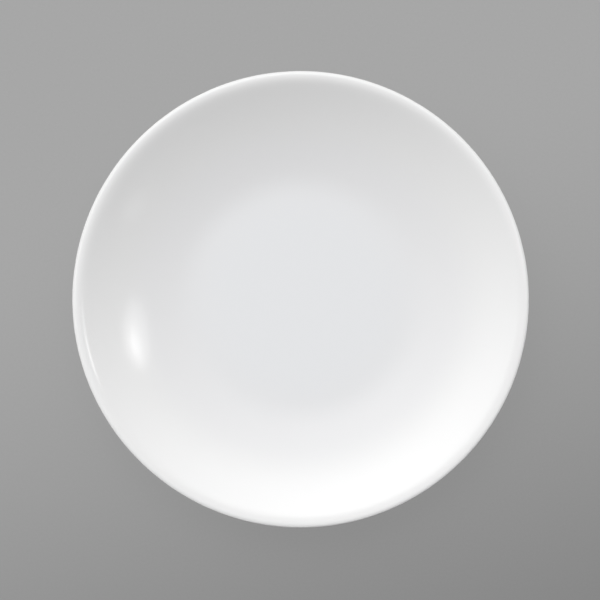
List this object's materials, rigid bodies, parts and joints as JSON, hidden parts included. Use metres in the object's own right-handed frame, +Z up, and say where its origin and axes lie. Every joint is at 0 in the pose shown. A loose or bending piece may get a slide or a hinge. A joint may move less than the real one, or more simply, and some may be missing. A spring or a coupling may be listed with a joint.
{
  "type": "coupe dinner plate",
  "caption": "Rimless round dinner plate of white glazed porcelain: a flat well sweeps up to a soft rounded lip, and it stands on a bare foot ring.",
  "frame": {"origin": "middle of the plane that the foot ring stands on", "axes": "+Z up along the plate's own axis, out of the well; X and Y lie in the table, and any turn about Z gives the same plate"},
  "size_m": [0.27, 0.27, 0.026],
  "materials": {
    "bare_porcelain": "fired porcelain, wiped clean of glaze, matt",
    "white_glaze": "clear feldspar glaze over white porcelain, glossy"
  },
  "bodies": {
    "root": {"clay_body": "bare_porcelain", "main_glaze": "white_glaze", "foot_well_glaze": "white_glaze"}
  },
  "joints": []
}
